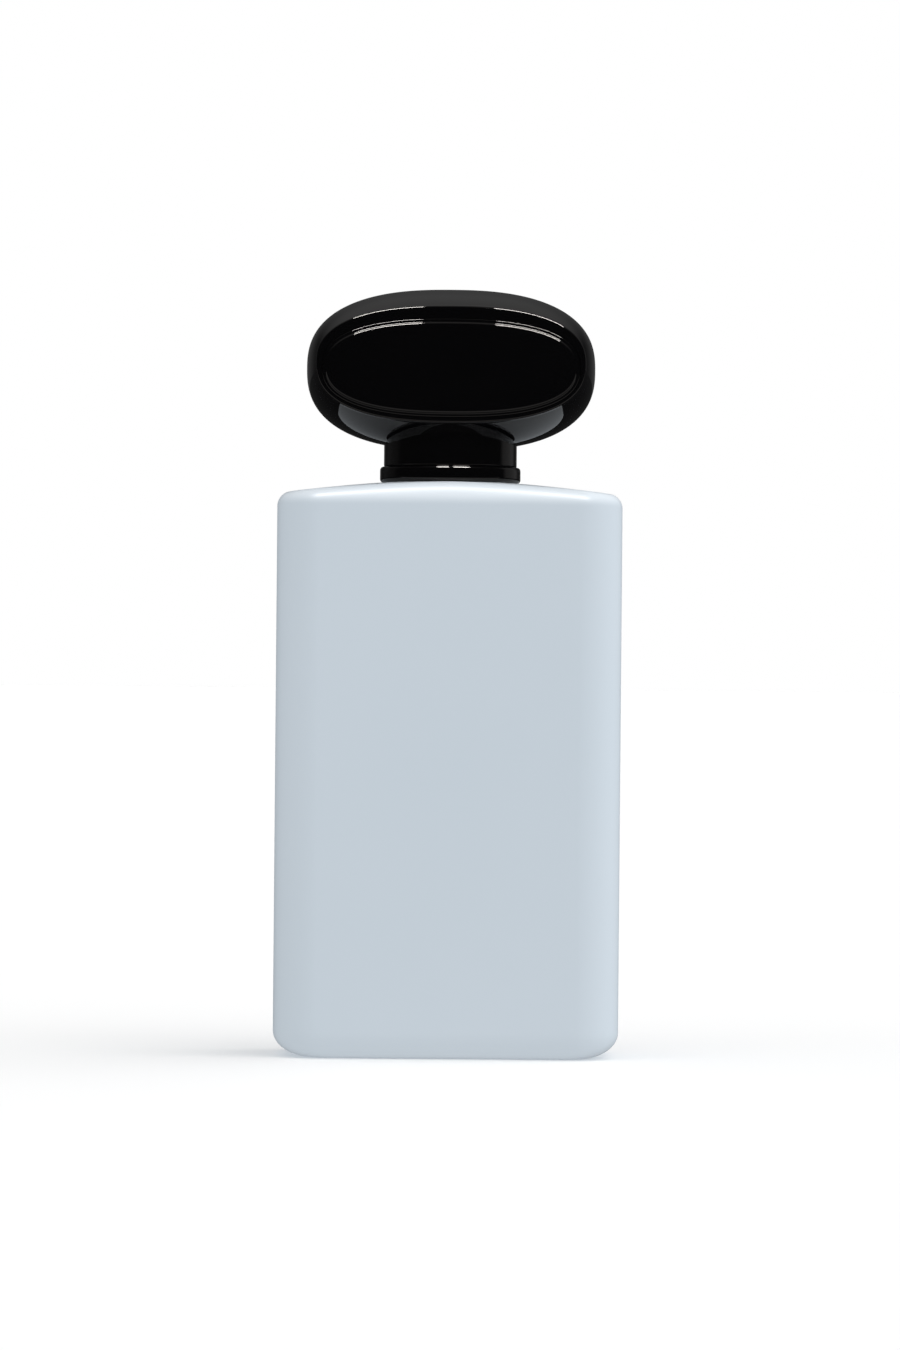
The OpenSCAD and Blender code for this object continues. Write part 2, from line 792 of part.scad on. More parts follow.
// Plate with a bevelled edge and a crowned face, stacked from its bonded back
module plate() {
    crowns = [for (s = [0.75, 0.45, 0.1]) s];
    half_pw = plate_w / 2;
    half_ph = plate_h / 2;
    crown_z = plate_t + bevel_h;
    loft(concat(
        [at_z(oval(half_pw, half_ph), 0)],
        [at_z(oval(half_pw, half_ph), plate_t)],
        [at_z(oval(half_pw - bevel_w, half_ph - bevel_w), crown_z)],
        [for (s = crowns)
            at_z(oval((half_pw - bevel_w) * s, (half_ph - bevel_w) * s),
                crown_z + (plate_crown - bevel_h) * (1 - s * s))]
    ));
}

module cap_front_plate() {
    color([0.1, 0.1, 0.1])
        stand(open_z)
            translate([0, 0, plate_face])
                plate();
}

module cap_back_plate() {
    color([0.1, 0.1, 0.1])
        rotate(180)
            cap_front_plate();
}

module cap_liner() {
    liner_z = skirt_z;
    rib_r = collar_r + rib_gap;
    color("dimgray")
        difference() {
            union() {
                ring(liner_r, liner_ir, liner_z, liner_top);
                ring(foot_flange_r, liner_ir, liner_z, liner_z + foot_h);
                translate([0, 0, liner_roof])
                    cylinder(r = liner_r, h = liner_t);
                for (i = [0:rib_count - 1])
                    rotate(360 * i / rib_count)
                        translate([rib_r, -rib_w / 2, liner_z + 1])
                            cube([liner_ir + liner_t / 2 - rib_r, rib_w, rib_h]);
            }
        }
}

// Steel ring round the liner, flat where it would meet the plates
module cap_weight() {
    color("slategray")
        intersection() {
            ring(weight_r, weight_ir, weight_z, weight_z + weight_h);
            translate([0, 0, weight_z + weight_h / 2])
                cube([2 * weight_r + 1, 2 * weight_face, weight_h + 1], center = true);
        }
}

bottle();
neck_collar();
collar_insert();
crimp_ferrule();
neck_gasket();
pump_housing();
stem_guide();
stem_gasket();
valve_stem();
stem_foot();
piston();
precompression_spring();
return_spring();
inlet_ball();
dip_tube();
spray_button();
button_sleeve();
nozzle_insert();
cap_frame();
cap_front_plate();
cap_back_plate();
cap_liner();
cap_weight();
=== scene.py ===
# %% [markdown]
# # A lacquered spray bottle with a pebble cap
#
# The bottle is a flat, upright glass flask, lacquered an opaque pale blue grey. A glossy black cap,
# shaped like a river pebble, pulls off a round black collar, and under it stands a small spray pump. The
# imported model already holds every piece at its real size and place. This script gives those pieces their
# finish, and makes smooth skins for the few whose facets would show in a mirror gloss.

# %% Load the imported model
import json
import math

import bmesh
import bpy
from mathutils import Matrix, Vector


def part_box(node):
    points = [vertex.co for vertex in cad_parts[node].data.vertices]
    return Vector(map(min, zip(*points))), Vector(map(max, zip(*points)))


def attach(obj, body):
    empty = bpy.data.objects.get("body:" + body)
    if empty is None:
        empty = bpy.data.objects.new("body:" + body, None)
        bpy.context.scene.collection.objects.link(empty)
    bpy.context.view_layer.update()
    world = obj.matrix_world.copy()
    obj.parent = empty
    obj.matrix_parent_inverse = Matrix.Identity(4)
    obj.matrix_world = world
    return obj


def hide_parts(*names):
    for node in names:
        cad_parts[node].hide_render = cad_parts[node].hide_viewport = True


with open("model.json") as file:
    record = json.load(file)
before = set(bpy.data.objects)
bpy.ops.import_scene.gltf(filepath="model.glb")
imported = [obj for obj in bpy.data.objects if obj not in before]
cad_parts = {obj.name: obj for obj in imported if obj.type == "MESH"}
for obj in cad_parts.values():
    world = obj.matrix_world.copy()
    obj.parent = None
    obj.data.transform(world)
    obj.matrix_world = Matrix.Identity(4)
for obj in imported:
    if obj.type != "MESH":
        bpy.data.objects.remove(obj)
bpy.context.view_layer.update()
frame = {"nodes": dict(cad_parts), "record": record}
MM = 0.001

# %% [markdown]
# ## Sizes read from the frame
#
# A skin has to sit exactly where its solid is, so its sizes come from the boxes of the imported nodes. Only
# the sizes that no box can tell, such as the radius of a rounded edge, are written here, in millimetres,
# as the part's own source has them.

# %% Measure the bottle, its collar and its cap
def corners_of(node):
    """Lowest and highest corner of a node, in millimetres."""
    low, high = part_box(node)
    return Vector(low) / MM, Vector(high) / MM


SEAT_GAP = 0.05
_, bottle_high = corners_of("bottle")
collar_low, collar_high = corners_of("neck_collar")
cap_low, cap_high = corners_of("cap_frame")
plate_low, plate_high = corners_of("cap_front_plate")

half_w = bottle_high.x
half_d = bottle_high.y
mouth_z = bottle_high.z
shoulder_z = collar_low.z - SEAT_GAP
print("body half width and half depth:", round(half_w, 2), round(half_d, 2))
print("shoulder and mouth heights:", round(shoulder_z, 2), round(mouth_z, 2))
print("collar:", [round(c, 2) for c in (*collar_low, *collar_high)])
print("cap frame:", [round(c, 2) for c in (*cap_low, *cap_high)])
print("front plate:", [round(c, 2) for c in (*plate_low, *plate_high)])

# %% [markdown]
# ## Writing node trees as sums
#
# Materials and Geometry Nodes are both trees of nodes, and both are mostly arithmetic. A small class
# wraps one output socket, and its operators add the Math node that they stand for, so a pattern reads as
# a formula. Every other node comes from one method, which takes the node's type, its settings and what
# goes into its sockets.

# %% Wrap sockets and graphs
class Value:
    """One output of a node, which takes part in Python arithmetic."""

    def __init__(self, graph, socket):
        self.graph = graph
        self.socket = socket

    def math(self, operation, *others, clamp=False):
        inputs = dict(enumerate((self,) + others))
        return self.graph.node("ShaderNodeMath", {"operation": operation, "use_clamp": clamp}, inputs)

    def __add__(self, other):
        return self.math("ADD", other)

    def __sub__(self, other):
        return self.math("SUBTRACT", other)

    def __mul__(self, other):
        return self.math("MULTIPLY", other)

    def __truediv__(self, other):
        return self.math("DIVIDE", other)

    def __pow__(self, other):
        return self.math("POWER", other)

    def __neg__(self):
        return self.math("MULTIPLY", -1.0)

    def __rsub__(self, other):
        return (-self) + other

    __radd__ = __add__
    __rmul__ = __mul__

    def abs(self):
        return self.math("ABSOLUTE")

    def clamp(self):
        return self.math("ADD", 0.0, clamp=True)

    def at_least(self, other):
        return self.math("MAXIMUM", other)

    def ramp(self, start, end):
        """0 below start, 1 above end and smooth in between."""
        return self.graph.node(
            "ShaderNodeMapRange",
            {"interpolation_type": "SMOOTHSTEP"},
            {"Value": self, "From Min": start, "From Max": end},
        )


class Graph:
    """A node tree, with one method that makes any node in it."""

    def __init__(self, tree):
        self.tree = tree

    def fill(self, socket, value):
        if isinstance(value, Value):
            self.tree.links.new(value.socket, socket)
        else:
            socket.default_value = value

    def node(self, kind, settings=None, inputs=None, output=0):
        made = self.tree.nodes.new(kind)
        for name, value in (settings or {}).items():
            setattr(made, name, value)
        for key, value in (inputs or {}).items():
            self.fill(made.inputs[key], value)
        return Value(self, made.outputs[output]) if made.outputs else made


def split(graph, vector):
    """The three parts of a vector."""
    made = graph.node("ShaderNodeSeparateXYZ", inputs={0: vector})
    return [Value(graph, socket) for socket in made.socket.node.outputs]


print("graph helpers ready")

# %% [markdown]
# ## Colours
#
# A colour is easiest to judge as it looks on a screen, from 0 to 255, but a shader wants it in linear
# light.

# %% Turn screen colours into linear light
def linear(*levels):
    """Linear colour from screen levels of 0 to 255."""
    shares = [level / 255 for level in levels]
    return tuple(s / 12.92 if s <= 0.04045 else ((s + 0.055) / 1.055) ** 2.4 for s in shares)


LACQUER = linear(199, 209, 217)
PIANO_BLACK = linear(13, 12, 13)
print("lacquer in linear light:", [round(c, 3) for c in LACQUER])

# %% [markdown]
# ## A shader to build on
#
# Each finish starts from a Principled shader. What is the same all over a surface, such as the weight of
# a clear coat or an index of refraction, is set on the shader's own socket. What varies, such as a faint
# mottle in the colour or the grain of a moulded surface, is added by a function that gets the graph and
# the shader.

# %% Make a material from one shader and a detail function
def make_material(name, base, roughness, detail=None, **constants):
    material = bpy.data.materials.new(name)
    material.use_nodes = True
    graph = Graph(material.node_tree)
    graph.tree.nodes.clear()
    shader = graph.tree.nodes.new("ShaderNodeBsdfPrincipled")
    shader.inputs["Base Color"].default_value = (*base, 1.0)
    shader.inputs["Roughness"].default_value = roughness
    for key, value in constants.items():
        shader.inputs[key.replace("_", " ")].default_value = value
    end = graph.tree.nodes.new("ShaderNodeOutputMaterial")
    graph.tree.links.new(shader.outputs["BSDF"], end.inputs["Surface"])
    if detail:
        detail(graph, shader)
    material.diffuse_color = (*base, 1.0)
    return material


def object_noise(graph, scale, detail=2.0, roughness=0.5, stretch=(1.0, 1.0, 1.0)):
    """Noise on object coordinates in metres; scale is the number of blobs in a metre."""
    place = graph.node("ShaderNodeTexCoord", output="Object")
    turned = graph.node("ShaderNodeMapping", inputs={"Vector": place, "Scale": stretch})
    inputs = {"Vector": turned, "Scale": scale, "Detail": detail, "Roughness": roughness}
    return graph.node("ShaderNodeTexNoise", inputs=inputs)


def mix_colours(graph, share, low, high):
    """Mixes two colours, each of them either linear levels or an output of another node."""
    ends = [(*colour, 1.0) if isinstance(colour, tuple) else colour for colour in (low, high)]
    return graph.node("ShaderNodeMix", {"data_type": "RGBA"}, {0: share, 6: ends[0], 7: ends[1]}, output=2)


def add_bump(graph, shader, height, strength, distance):
    inputs = {"Height": height, "Strength": strength, "Distance": distance}
    graph.fill(shader.inputs["Normal"], graph.node("ShaderNodeBump", inputs=inputs))


print("material helpers ready")

# %% [markdown]
# ## The finishes
#
# The flask has a sprayed lacquer: an even, pale blue grey under a clear coat, with the very slight ripple
# that painters call orange peel. At the shoulder its colour fades to nearly white: a painted highlight that
# stands in for the light falling on the shoulder's upward edge. The cap and the collar are piano black,
# which is almost no colour and all reflection. Each noise is named by what it draws, and its number counts
# blobs in a metre. The painted highlight's fade is given in millimetres above the floor. A sheen is the
# least roughness of a surface and how much the noise adds to it.

# %% Lacquer and piano black
# Painted highlight on the shoulder: where the colour starts and ends its fade to near white, in millimetres
# above the floor, and how far that line wanders.
PAINTED_HIGHLIGHT_START, PAINTED_HIGHLIGHT_END, PAINTED_HIGHLIGHT_WANDER = 99.0, 101.2, 0.3
CLOUD, FLECK, LACQUER_PEEL = 26.0, 5200.0, 420.0
DEPTH, HAZE, GLOSS_PEEL = 60.0, 180.0, 300.0
CLOUD_DARK, CLOUD_LIGHT, SHOULDER_PAINTED_HIGHLIGHT = linear(193, 204, 213), linear(197, 207, 216), linear(223, 231, 238)
BLACK_DEEP, BLACK_SOFT = linear(2, 2, 3), linear(5, 5, 6)
LACQUER_SHEEN, GLOSS_SHEEN = (0.34, 0.1), (0.03, 0.04)


def lacquer_detail_and_painted_highlight(graph, shader):
    cloud = object_noise(graph, CLOUD, detail=3.0)
    place = split(graph, graph.node("ShaderNodeTexCoord", output="Object"))
    height = place[2] + (cloud - 0.5) * (PAINTED_HIGHLIGHT_WANDER * MM)
    sides = mix_colours(graph, cloud, CLOUD_DARK, CLOUD_LIGHT)
    # Painted highlight: over the shoulder's edge the colour fades to near white, standing in for light from
    # above.
    colour = mix_colours(graph, height.ramp(PAINTED_HIGHLIGHT_START * MM, PAINTED_HIGHLIGHT_END * MM), sides, SHOULDER_PAINTED_HIGHLIGHT)
    graph.fill(shader.inputs["Base Color"], colour)
    fleck = object_noise(graph, FLECK, detail=1.0)
    least, added = LACQUER_SHEEN
    graph.fill(shader.inputs["Roughness"], least + fleck * added)
    peel = object_noise(graph, LACQUER_PEEL)
    add_bump(graph, shader, peel, strength=0.12, distance=0.04 * MM)


def gloss_detail(graph, shader):
    depth = object_noise(graph, DEPTH)
    graph.fill(shader.inputs["Base Color"], mix_colours(graph, depth, BLACK_DEEP, BLACK_SOFT))
    haze = object_noise(graph, HAZE, detail=4.0, roughness=0.7)
    least, added = GLOSS_SHEEN
    graph.fill(shader.inputs["Roughness"], least + haze.ramp(0.45, 0.8) * added)
    peel = object_noise(graph, GLOSS_PEEL)
    add_bump(graph, shader, peel, strength=0.03, distance=0.03 * MM)


SMOKE = (1.0, 0.95, 0.9, 1.0)
lacquer = make_material(
    "lacquered_glass", LACQUER, 0.36, lacquer_detail_and_painted_highlight,
    Coat_Weight=0.15, Coat_Roughness=0.25, Specular_IOR_Level=0.14,
)
piano_black = make_material("piano_black", PIANO_BLACK, 0.06, gloss_detail, IOR=1.5, Specular_Tint=SMOKE)
plate_black = make_material("plate_black", PIANO_BLACK, 0.05, gloss_detail, IOR=1.5, Specular_Tint=SMOKE)
print("hero materials:", lacquer.name, piano_black.name, plate_black.name)

# %% [markdown]
# Moulded plastics share one function: a fine, dull grain, and a colour that wanders a little with the
# flow of the melt. Metals share another, whose fine lines run round the axis, because those parts were
# spun or turned.

# %% Plastics, rubber and metals
FLOW, SPOTS, LINES = 140.0, 3500.0, 500.0
ALONG_FLOW, ROUND_AXIS = (1.0, 1.0, 0.4), (0.06, 0.06, 12.0)


def moulded(colour, grain=0.25):
    lighter = tuple(c * 1.06 + 0.002 for c in colour)
    darker = tuple(c * 0.94 for c in colour)

    def detail(graph, shader):
        flow = object_noise(graph, FLOW, detail=3.0, stretch=ALONG_FLOW)
        graph.fill(shader.inputs["Base Color"], mix_colours(graph, flow, darker, lighter))
        spots = object_noise(graph, SPOTS)
        sheen = shader.inputs["Roughness"]
        graph.fill(sheen, sheen.default_value + (spots - 0.5) * 0.2)
        add_bump(graph, shader, spots, strength=grain, distance=0.02 * MM)

    return detail


def turned(colour):
    lighter = tuple(min(c * 1.05, 1.0) for c in colour)
    darker = tuple(c * 0.9 for c in colour)

    def detail(graph, shader):
        lines = object_noise(graph, LINES, detail=4.0, roughness=0.7, stretch=ROUND_AXIS)
        graph.fill(shader.inputs["Base Color"], mix_colours(graph, lines, darker, lighter))
        sheen = shader.inputs["Roughness"]
        graph.fill(sheen, sheen.default_value + (lines - 0.5) * 0.25)
        add_bump(graph, shader, lines, strength=0.12, distance=0.01 * MM)

    return detail


def plastic(name, levels, roughness, grain=0.25):
    return make_material(name, linear(*levels), roughness, moulded(linear(*levels), grain), IOR=1.48)


def metal(name, levels, roughness):
    return make_material(name, linear(*levels), roughness, turned(linear(*levels)), Metallic=1.0)


finishes = {
    "liner_black": plastic("liner_black", (24, 24, 26), 0.5, 0.4),
    "button_black": plastic("button_black", (20, 20, 22), 0.38),
    "nozzle_black": plastic("nozzle_black", (26, 26, 28), 0.42),
    "white_plastic": plastic("white_plastic", (236, 236, 232), 0.4),
    "natural_plastic": plastic("natural_plastic", (222, 223, 216), 0.35),
    "grey_plastic": plastic("grey_plastic", (150, 152, 155), 0.42),
    "gasket_rubber": plastic("gasket_rubber", (58, 58, 60), 0.7, 0.5),
    "sleeve_aluminium": metal("sleeve_aluminium", (222, 223, 226), 0.26),
    "ferrule_aluminium": metal("ferrule_aluminium", (214, 215, 218), 0.3),
    "weight_steel": metal("weight_steel", (168, 168, 170), 0.34),
    "spring_steel": metal("spring_steel", (186, 186, 190), 0.22),
}
print("inner finishes:", ", ".join(finishes))

# %% [markdown]
# ## Skins made of rings
#
# Every smooth piece here is a stack of rings: the flask's rings are rounded rectangles and the collar's
# are circles. One function joins each ring to the next and closes both ends, or joins the last ring to
# the first when the piece is a tube. An edge sharper than 32 degrees stays crisp and all the rest is
# shaded smooth.

# %% Join rings into one closed mesh
CREASE = math.radians(32)
SAME_POINT = 1e-7


def finish_mesh(name, bm, material):
    bmesh.ops.remove_doubles(bm, verts=bm.verts, dist=SAME_POINT)
    bmesh.ops.recalc_face_normals(bm, faces=bm.faces)
    if bm.calc_volume(signed=True) < 0:
        bmesh.ops.reverse_faces(bm, faces=bm.faces)
    for face in bm.faces:
        face.smooth = True
    for edge in bm.edges:
        edge.smooth = edge.calc_face_angle(0.0) < CREASE
    mesh = bpy.data.meshes.new(name)
    bm.to_mesh(mesh)
    bm.free()
    mesh.materials.clear()
    mesh.materials.append(material)
    return mesh


def shell(name, rings, material, tube=False):
    """One closed object over rings of (x, y, z) points in millimetres."""
    bm = bmesh.new()
    rows = [[bm.verts.new([c * MM for c in point]) for point in ring] for ring in rings]
    following = rows[1:] + rows[:1] if tube else rows[1:]
    for low, high in zip(rows, following):
        for j in range(len(low)):
            k = (j + 1) % len(low)
            bm.faces.new((low[j], low[k], high[k], high[j]))
    if not tube:
        for row in (rows[0], rows[-1]):
            middle = bm.verts.new(sum((v.co for v in row), Vector()) / len(row))
            for j in range(len(row)):
                bm.faces.new((row[j], row[(j + 1) % len(row)], middle))
    made = bpy.data.objects.new(name, finish_mesh(name, bm, material))
    bpy.context.collection.objects.link(made)
    return made


print("ring helpers ready")

# %% [markdown]
# ## The flask
#
# Seen from above, the flask is a rectangle with rounded corners. A ring of that shape swells out over the
# rounded base, rises straight up the sides, turns in over a soft edge, and then melts into a circle where
# the collar sits. The skin goes on up the neck, over the finish that the pump is crimped on, down the
# bore and round the inside of the glass, so that the flask is as hollow as the real one.

# %% Rounded rectangles and circles
CORNER_STEPS = 24
SHORT_STEPS = 12
LONG_STEPS = 44


def between(p, q, count):
    return [tuple(a + (b - a) * i / count for a, b in zip(p, q)) for i in range(count)]


def slab(hx, hy, r):
    """Points round a rectangle with half sizes hx and hy and rounded corners."""
    corners = [(hx - r, hy - r), (r - hx, hy - r), (r - hx, r - hy), (hx - r, r - hy)]
    points = []
    for k, (cx, cy) in enumerate(corners):
        start = math.pi / 2 * k
        arc = [start + math.pi / 2 * i / CORNER_STEPS for i in range(CORNER_STEPS + 1)]
        points += [(cx + r * math.cos(a), cy + r * math.sin(a)) for a in arc[:-1]]
        nx, ny = corners[(k + 1) % 4]
        end = (nx + r * math.cos(arc[-1]), ny + r * math.sin(arc[-1]))
        here = (cx + r * math.cos(arc[-1]), cy + r * math.sin(arc[-1]))
        points += between(here, end, SHORT_STEPS if k % 2 else LONG_STEPS)
    return points


def lift(outline, z):
    return [(x, y, z) for x, y in outline]


def arc_steps(count):
    """Angles from nothing to a right angle, for a rounded edge."""
    return [math.pi / 2 * i / count for i in range(count + 1)]


print("points round the flask:", 4 * CORNER_STEPS + 2 * (SHORT_STEPS + LONG_STEPS))

# %% [markdown]
# The flask's own measures are few. The rim of the shoulder falls a little towards both ends, its edge is
# a quarter of an ellipse, and from there the shoulder rises to the flat land that the collar sits on. Two
# more rings, a little inside both ends of the straight sides, keep the sides' shading flat.

# %% Build the flask
CORNER_R, FOOT_R, LEAST_R = 8.0, 1.0, 0.5
BASE_H, BASE_W, BASE_D = 4.7, 6.9, 4.5
FOOT_W, PUNT_H = 2.5, 0.8
EDGE_H, EDGE_W = 4.5, 2.1
SHOULDER_FALL, FALL_POWER, LAND_POWER = 0.48, 1.6, 1.2
LAND_R = 12.2
NECK_R, BEAD_R, BEAD_H, BORE_R = 6.5, 7.5, 3.6, 5.2
WALL, FLOOR_T, SHOULDER_T, CAVITY_ROUND = 3.5, 6.0, 4.8, 3.5
BASE_STEPS, EDGE_STEPS, SHOULDER_STEPS, CAVITY_STEPS = 14, 18, 10, 6
KEEP_FLAT = 0.6
edge_z = shoulder_z - EDGE_H
cavity_top = shoulder_z - SHOULDER_T


def fall_at(x):
    """How far the shoulder's rim has fallen at x."""
    return EDGE_H * SHOULDER_FALL * (abs(x) / half_w) ** FALL_POWER


def base_ring(a):
    s = 1 - math.sin(a)
    outline = slab(half_w - BASE_W * s, half_d - BASE_D * s, CORNER_R - BASE_D * s)
    return lift(outline, BASE_H * (1 - math.cos(a)))


def edge_ring(a):
    inset = EDGE_W * (1 - math.cos(a))
    outline = slab(half_w - inset, half_d - inset, CORNER_R - inset)
    return [(x, y, edge_z + (EDGE_H - fall_at(x)) * math.sin(a)) for x, y in outline]


def shoulder_ring(share):
    ring = []
    for x, y in slab(half_w - EDGE_W, half_d - EDGE_W, CORNER_R - EDGE_W):
        k = 1 - share + share * LAND_R / math.hypot(x, y)
        ring.append((x * k, y * k, shoulder_z - fall_at(x) * (1 - share) ** LAND_POWER))
    return ring


land = shoulder_ring(1.0)


def round_ring(r, z):
    """The land's circle, drawn in to radius r at height z."""
    return [(x * r / LAND_R, y * r / LAND_R, z) for x, y, _ in land]


def cavity_ring(a, z, way):
    s = CAVITY_ROUND * (1 - math.sin(a))
    outline = slab(half_w - WALL - s, half_d - WALL - s, max(CORNER_R - WALL - s, LEAST_R))
    return lift(outline, z + way * CAVITY_ROUND * (1 - math.cos(a)))


foot_x, foot_y = half_w - BASE_W - FOOT_W, half_d - BASE_D - FOOT_W
neck_profile = [
    (NECK_R, shoulder_z), (NECK_R, mouth_z - BEAD_H), (BEAD_R, mouth_z - BEAD_H), (BEAD_R, mouth_z),
    (BORE_R, mouth_z), (BORE_R, cavity_top),
]
flask_rings = [lift(slab(foot_x - rise, foot_y - rise, FOOT_R), rise) for rise in (PUNT_H, 0.0)]
flask_rings += [base_ring(a) for a in arc_steps(BASE_STEPS)]
flask_rings += [lift(slab(half_w, half_d, CORNER_R), z) for z in (BASE_H + KEEP_FLAT, edge_z - KEEP_FLAT)]
flask_rings += [edge_ring(a) for a in arc_steps(EDGE_STEPS)]
flask_rings += [shoulder_ring((i + 1) / SHOULDER_STEPS) for i in range(SHOULDER_STEPS)]
flask_rings += [round_ring(r, z) for r, z in neck_profile]
flask_rings += [cavity_ring(a, cavity_top, -1) for a in arc_steps(CAVITY_STEPS)]
flask_rings += [cavity_ring(a, FLOOR_T, 1) for a in reversed(arc_steps(CAVITY_STEPS))]

flask = shell("flask", flask_rings, lacquer)
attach(flask, "bottle_body")
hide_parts("bottle")
print("flask faces:", len(flask.data.polygons), "height:", round(flask.dimensions.z / MM, 2))

# %% [markdown]
# ## The collar
#
# The collar is a turned ring: a thin sleeve that the cap grips, over a rounded flange that covers the
# pump. A profile drawn in radius and height is enough, and small arcs soften its corners.

# %% Round the corners of a profile and spin it
SPIN_STEPS, GUARD = 160, 1.2


def eased(profile, steps=6):
    """A closed profile of (r, z, radius) corners, each rounded by its own radius.

    A point just outside each rounding, at GUARD times its radius, keeps the faces beside it flat in shading.
    """
    points = []
    count = len(profile)
    for i, (r, z, radius) in enumerate(profile):
        here = Vector((r, z))
        if not radius:
            points.append((r, z))
            continue
        before = (Vector(profile[i - 1][:2]) - here).normalized() * radius
        after = (Vector(profile[(i + 1) % count][:2]) - here).normalized() * radius
        curve = [(1 - u) ** 2 * before + u**2 * after for u in (j / steps for j in range(steps + 1))]
        points += [tuple(here + bend) for bend in (before * GUARD, *curve, after * GUARD)]
    return points


def spin(profile):
    """Rings of a closed profile of (r, z) points round the Z axis."""
    turn = [2 * math.pi * i / SPIN_STEPS for i in range(SPIN_STEPS)]
    return [[(r * math.cos(a), r * math.sin(a), z) for a in turn] for r, z in profile]


FLANGE_H, SLEEVE_R, SLEEVE_IR = 2.9, 9.5, 8.8
FLANGE_EDGE, SLEEVE_EDGE, BORE_EDGE = 0.75, 0.3, 0.1
flange_r, flange_z = collar_high.x, collar_low.z + FLANGE_H
collar_profile = [
    (SLEEVE_IR, collar_low.z, 0), (flange_r, collar_low.z, FLANGE_EDGE), (flange_r, flange_z, FLANGE_EDGE),
    (SLEEVE_R, flange_z, 0), (SLEEVE_R, collar_high.z, SLEEVE_EDGE), (SLEEVE_IR, collar_high.z, BORE_EDGE),
]
collar_ring = shell("collar_ring", spin(eased(collar_profile)), piano_black, tube=True)
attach(collar_ring, "collar")
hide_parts("neck_collar")
print("collar ring:", [round(c / MM, 2) for c in collar_ring.dimensions])

# %% [markdown]
# ## Growing pieces by rule
#
# Some shapes are a rule more than a mesh. A Geometry Nodes tree holds such a rule with its measures as
# named inputs. Once it has run, its result is kept as a plain mesh and the modifier goes.

# %% A tree that is baked to a mesh
class Recipe(Graph):
    """A Geometry Nodes tree with named number inputs."""

    def __init__(self, name, **sizes):
        super().__init__(bpy.data.node_groups.new(name, "GeometryNodeTree"))
        sockets = self.tree.interface
        self.values = {}
        for label, value in sizes.items():
            made = sockets.new_socket(label, in_out="INPUT", socket_type="NodeSocketFloat")
            self.values[made.identifier] = float(value)
        sockets.new_socket("Geometry", in_out="OUTPUT", socket_type="NodeSocketGeometry")
        self.entry = self.tree.nodes.new("NodeGroupInput")

    def __getattr__(self, label):
        return Value(self, self.entry.outputs[label])

    def bake(self, name, geometry, material):
        real = self.node("GeometryNodeRealizeInstances", inputs={0: geometry})
        painted = self.node("GeometryNodeSetMaterial", inputs={"Geometry": real, "Material": material})
        end = self.tree.nodes.new("NodeGroupOutput")
        self.fill(end.inputs["Geometry"], painted)
        made = bpy.data.objects.new(name, bpy.data.meshes.new(name))
        bpy.context.collection.objects.link(made)
        modifier = made.modifiers.new("recipe", "NODES")
        modifier.node_group = self.tree
        for identifier, value in self.values.items():
            modifier[identifier] = value
        depsgraph = bpy.context.evaluated_depsgraph_get()
        baked = bpy.data.meshes.new_from_object(made.evaluated_get(depsgraph), depsgraph=depsgraph)
        made.modifiers.clear()
        bm = bmesh.new()
        bm.from_mesh(baked)
        made.data = finish_mesh(name, bm, material)
        return made


print("recipes ready")

# %% [markdown]
# ## The pebble cap
#
# The cap is a barrel of ovals, widest in the middle and drawn in towards a rim at the front and back,
# which stands a little high. The oval is a superellipse, a little squarer than an ellipse. Each point of
# the mesh has a turn angle round the oval and a step along the profile. Up to step 1 the profile runs
# over the barrel, up to 2 it rounds the rim, up to 3 it crosses the flat rim to the plate's pocket, up to
# 4 it goes down the pocket wall, up to 5 across the ledge that the plate is bonded to, and up to 6 it
# lines the way through, where the front half meets the back half.

# %% The profile of the pebble, as a tree
CAP_W, CAP_H, RIM_W, RIM_H, RIM_RISE, RIM_ROUND = 52.1, 29.0, 48.2, 21.0, 0.35, 0.4
OVAL_POWER, BARREL_POWER = 2.5, 2.1
PLATE_T, PLATE_CROWN = 2.0, 0.5
FIT_GAP, LEDGE_W = 0.05, 0.8
half_cap_d = cap_high.y
plate_face = half_cap_d - PLATE_T
plate_z = (plate_low.z + plate_high.z) / 2
plate_hw, plate_hh = plate_high.x, (plate_high.z - plate_low.z) / 2
cap_z = cap_high.z - CAP_H / 2
BARREL_ROWS, EDGE_ROWS, AROUND = 52, 6, 256
half_rows = BARREL_ROWS + 5 * EDGE_ROWS

pebble = Recipe(
    "pebble_shell", half_width=CAP_W / 2, half_height=CAP_H / 2, half_depth=half_cap_d, middle_z=cap_z,
    rim_width=RIM_W / 2, rim_height=RIM_H / 2, rim_rise=RIM_RISE, rim_round=RIM_ROUND,
    pocket_width=plate_hw + FIT_GAP, pocket_height=plate_hh + FIT_GAP, pocket_z=plate_z,
    pocket_floor=plate_face, ledge=LEDGE_W,
)


def towards(share, start, end):
    return start + (end - start) * share


grid = pebble.node(
    "GeometryNodeMeshGrid",
    inputs={"Size X": 2.0, "Size Y": 2 * math.pi, "Vertices X": 2 * half_rows + 1, "Vertices Y": AROUND + 1},
)
along, turn, _ = split(pebble, pebble.node("GeometryNodeInputPosition"))
row = along.abs() * half_rows
barrel = row.math("MINIMUM", BARREL_ROWS) / BARREL_ROWS
beyond = (row - BARREL_ROWS).at_least(0.0) / EDGE_ROWS
rounding = beyond.clamp() * (math.pi / 2)
on_flat, on_wall, on_ledge, on_way = [(beyond - k).clamp() for k in (1, 2, 3, 4)]

